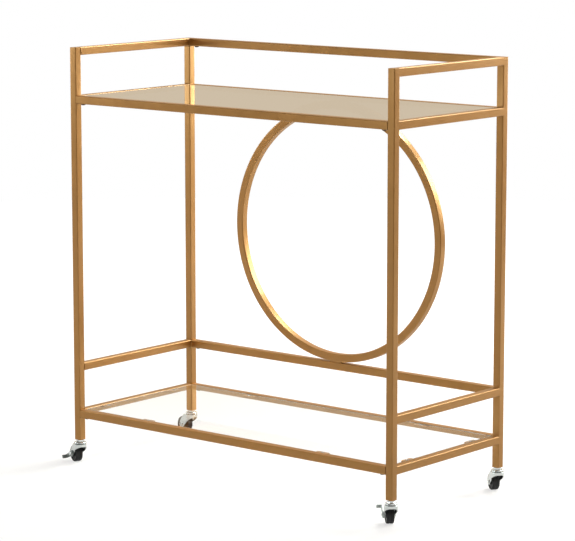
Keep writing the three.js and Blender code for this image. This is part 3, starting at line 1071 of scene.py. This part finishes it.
def makeAxle(corner, hasBrake):
    mesh = bmesh.new()
    plain = lever["inside"]
    braked = plain + (lever["hubWidth"] + 0.3 if hasBrake else 0)
    left = [(r, -h) for r, h in reversed(rivetHead(plain))]
    addTurned(mesh, left + rivetHead(braked), "y", 32)
    put(mesh, axlePlace(corner))
    node, body = f"caster_axle_{corner}", f"swivel_{corner}"
    finishPiece(f"axle_{corner}", mesh, [chrome], body, [node], smooth=50, keepFlat=False)


# a one-piece wheel: dished faces, a hub, a soft tread edge and the mould's parting groove
def makeWheel(corner):
    mesh = bmesh.new()
    radius, half, edge = wheel["radius"] - wheel["worn"], wheel["half"], wheel["edge"]
    rim, dish, hub = radius - wheel["rim"], half - wheel["dish"], wheel["hub"]
    side = [
        (wheel["bore"], half + 0.5),
        (hub - 0.6, half + 0.6),
        (hub - 0.15, half + 0.45),
        (hub, half),
        (hub + 0.35, dish + 0.4),
        (hub + 0.9, dish),
        (rim - 0.9, dish),
        (rim - 0.3, dish + 0.4),
        (rim, half - 0.4),
        (rim + 0.35, half),
        (radius - edge * 1.2, half),
        (radius - edge * 0.7, half - edge * 0.2),
        (radius - edge * 0.3, half - edge * 0.55),
        (radius - edge * 0.08, half - edge),
        (radius, half - 2.6),
        (radius, 1.1),
        (radius - 0.12, 0.75),
        (radius - 0.5, 0.55),
        (radius - 0.55, 0.25),
    ]
    profile = side + [(r, -h) for r, h in reversed(side)]
    addTurned(mesh, profile, "y", 72)
    put(mesh, axlePlace(corner))
    name, node, body = f"roller_{corner}", f"caster_wheel_{corner}", f"wheel_{corner}"
    finishPiece(name, mesh, [wheelBlack], body, [node], smooth=42, keepFlat=False)


# how far the lever is turned at rest, from the range that its joint has left
def leverTurn(corner):
    low, high = joints[f"brake_{corner}"]["range_deg"]
    return Matrix.Rotation(math.radians((low + high) / 2), 4, "Y")


# the brake lever: hub, tapered arm and the ribbed tab that the foot presses
def makeLever(corner):
    mesh = bmesh.new()
    inside, outside = lever["inside"], lever["inside"] + lever["hubWidth"]
    length, sheet, root, tip = lever["length"], lever["sheet"], lever["root"], lever["tip"]
    hub = addBar(mesh, lever["hub"] * mm, (0, inside * mm, 0), (0, outside * mm, 0), 40)
    rims = [edge for edge in edgesOf(hub) if abs((edge.verts[0].co - edge.verts[1].co).y) < tiny]
    bevelEdges(mesh, rims, lever["hubEdge"] * mm, 2)
    arm = addBlock(
        mesh,
        Vector((0, outside - sheet, -tip)) * mm,
        Vector((length - sheet / 2, outside, tip)) * mm,
    )
    for vert in arm:
        if vert.co.x < 1e-6:
            vert.co.z *= root / tip
    foot = addBlock(
        mesh,
        Vector((length - sheet, outside - sheet, -tip)) * mm,
        Vector((length, outside + lever["tab"], tip)) * mm,
    )
    tipCorners = [edge for edge in edgesAlong(foot, "x") if edge.verts[0].co.y > (outside + 1) * mm]
    bevelEdges(mesh, tipCorners, lever["tabCorner"] * mm, 4)
    for rib in (-1, 0, 1):
        middle = rib * lever["ribSpacing"]
        addBlock(
            mesh,
            Vector((length - sheet - 0.3, outside + 1.5, middle - lever["rib"])) * mm,
            Vector((length - 0.1, outside + lever["tab"] - 1.5, middle + lever["rib"])) * mm,
        )
    put(mesh, axlePlace(corner) @ leverTurn(corner))
    node, body = f"brake_lever_{corner}", f"brake_{corner}"
    finishPiece(f"lever_{corner}", mesh, [leverPlate], body, [node], smooth=35)


for corner in corners:
    hasBrake = f"brake_{corner}" in joints
    makeStem(corner)
    makeFork(corner)
    makeBalls(corner)
    makeAxle(corner, hasBrake)
    makeWheel(corner)
    if hasBrake:
        makeLever(corner)
    frame["nodes"][f"post_plug_{corner}"].material_slots[0].material = plugBlack
print("bar cart: casters made")

studio = {
    "ambient": 0.37,
    "horizon": "cdbda5",  # the low wall behind, which only the glass and the metal see
    "wall": "dccfb7",  # above it
    "room": "45423f",  # the unlit side of the room, behind the camera
    "wallStarts": (0.12, 0.19),  # heights on a unit sphere round the cart
    "ceilingStarts": (0.3, 0.55),
    "litSide": (0.35, 0.85, 0.4),
    "roomTurns": (-0.35, 0.3),
    "paper": "b9b7b3",
    "paperReach": 4.0,
    "paperGlow": (0.56, 0.84),  # by the cart, and where the lamps' light ends
    "paperFade": (0.8, 2.6),
    "paperShine": 0.5,  # how much of that glow metal and glass mirror
}
# round softboxes: degrees round from the back towards the right, degrees up, watts
lamps = {
    "backHigh": {"round": 0, "up": 48, "power": 49},
    "backLow": {"round": 20, "up": 10, "power": 50},
    "backRight": {"round": 30, "up": 28, "power": 26},
    "left": {"round": 240, "up": 10, "power": 21},
    "front": {"round": 200, "up": 10, "power": 9},
}
softbox = {"size": 0.9, "away": 2.8, "aim": 0.42}  # metres; the aim is a height on the cart


def makeFloor(spec):
    mesh = bmesh.new()
    bmesh.ops.create_circle(mesh, cap_ends=True, segments=64, radius=spec["paperReach"])
    data = bpy.data.meshes.new("studio_floor")
    mesh.to_mesh(data)
    mesh.free()
    floor = bpy.data.objects.new("studio_floor", data)
    bpy.context.scene.collection.objects.link(floor)
    material = bpy.data.materials.new("studio_paper")
    material.use_nodes = True
    tree = material.node_tree
    tree.nodes.clear()
    paper = addNode(tree, "ShaderNodeBsdfDiffuse", inputs={"Color": colour(spec["paper"])})
    place = addNode(tree, "ShaderNodeTexCoord").outputs["Object"]
    away = addNode(tree, "ShaderNodeVectorMath", {"operation": "LENGTH"}, {0: place}).outputs["Value"]
    rise = addNode(
        tree,
        "ShaderNodeMapRange",
        inputs={
            "Value": away,
            "From Min": spec["paperFade"][0],
            "From Max": spec["paperFade"][1],
            "To Min": spec["paperGlow"][0],
            "To Max": spec["paperGlow"][1],
        },
    )
    glow = addNode(tree, "ShaderNodeEmission", inputs={"Strength": rise})
    bright = addNode(tree, "ShaderNodeAddShader", inputs={0: paper, 1: glow})
    glossyRay = addNode(tree, "ShaderNodeLightPath").outputs["Is Glossy Ray"]
    shine = addNode(
        tree, "ShaderNodeMath", {"operation": "MULTIPLY"}, {0: glossyRay, 1: spec["paperShine"]}
    )
    seen = addNode(tree, "ShaderNodeMath", {"operation": "ADD"}, {0: seenClear(tree), 1: shine})
    both = addNode(tree, "ShaderNodeMixShader", inputs={0: seen, 1: paper, 2: bright})
    addNode(tree, "ShaderNodeOutputMaterial", inputs={"Surface": both})
    data.materials.append(material)


# 1 for rays from the camera, and for those by way of the glass
def seenClear(tree):
    path = addNode(tree, "ShaderNodeLightPath")
    return addNode(
        tree,
        "ShaderNodeMath",
        {"operation": "ADD", "use_clamp": True},
        {0: path.outputs["Is Camera Ray"], 1: path.outputs["Is Transmission Ray"]},
    )


# white to the camera; to metal and glass a warm low wall behind, and a dim room in front
def makeWorld(spec):
    world = bpy.data.worlds.new("studio")
    bpy.context.scene.world = world
    world.use_nodes = True
    tree = world.node_tree
    tree.nodes.clear()
    white = (1, 1, 1, 1)
    soft = addNode(tree, "ShaderNodeBackground", inputs={"Color": white, "Strength": spec["ambient"]})
    plain = addNode(tree, "ShaderNodeBackground", inputs={"Color": white, "Strength": 1.0})
    place = addNode(tree, "ShaderNodeTexCoord").outputs["Generated"]
    height = addNode(tree, "ShaderNodeSeparateXYZ", inputs={0: place}).outputs["Z"]
    low, high = spec["wallStarts"]
    rise = addNode(
        tree, "ShaderNodeMapRange", inputs={"Value": height, "From Min": low, "From Max": high}
    )
    behind = addNode(
        tree,
        "ShaderNodeMix",
        {"data_type": "RGBA"},
        {0: rise, 6: colour(spec["horizon"]), 7: colour(spec["wall"])},
    ).outputs[2]
    low, high = spec["ceilingStarts"]
    over = addNode(
        tree, "ShaderNodeMapRange", inputs={"Value": height, "From Min": low, "From Max": high}
    )
    lit = addNode(
        tree, "ShaderNodeMix", {"data_type": "RGBA"}, {0: over, 6: behind, 7: white}
    ).outputs[2]
    facing = addNode(
        tree, "ShaderNodeVectorMath", {"operation": "DOT_PRODUCT"}, {0: place, 1: spec["litSide"]}
    ).outputs["Value"]
    low, high = spec["roomTurns"]
    turned = addNode(
        tree, "ShaderNodeMapRange", inputs={"Value": facing, "From Min": low, "From Max": high}
    )
    shade = addNode(
        tree,
        "ShaderNodeMix",
        {"data_type": "RGBA"},
        {0: turned, 6: colour(spec["room"]), 7: lit},
    ).outputs[2]
    seen = addNode(tree, "ShaderNodeBackground", inputs={"Color": shade, "Strength": 1.0})
    glossyRay = addNode(tree, "ShaderNodeLightPath").outputs["Is Glossy Ray"]
    glossy = addNode(tree, "ShaderNodeMixShader", inputs={0: glossyRay, 1: soft, 2: seen})
    both = addNode(tree, "ShaderNodeMixShader", inputs={0: seenClear(tree), 1: glossy, 2: plain})
    addNode(tree, "ShaderNodeOutputWorld", inputs={"Surface": both})


def makeLamp(name, spec):
    data = bpy.data.lights.new(name, "AREA")
    data.shape = "DISK"
    data.size = softbox["size"]
    data.energy = spec["power"]
    lamp = bpy.data.objects.new(name, data)
    lamp.visible_camera = False
    turn, up = math.radians(spec["round"]), math.radians(spec["up"])
    out = Vector((math.sin(turn) * math.cos(up), math.cos(turn) * math.cos(up), math.sin(up)))
    lamp.location = Vector((middleX, middleY, softbox["aim"])) + out * softbox["away"]
    lamp.rotation_mode = "QUATERNION"
    lamp.rotation_quaternion = out.to_track_quat("Z", "Y")
    bpy.context.scene.collection.objects.link(lamp)


makeFloor(studio)
makeWorld(studio)
for name, spec in lamps.items():
    makeLamp(name, spec)
bpy.context.scene.view_settings.view_transform = "Standard"
print("bar cart: studio made")
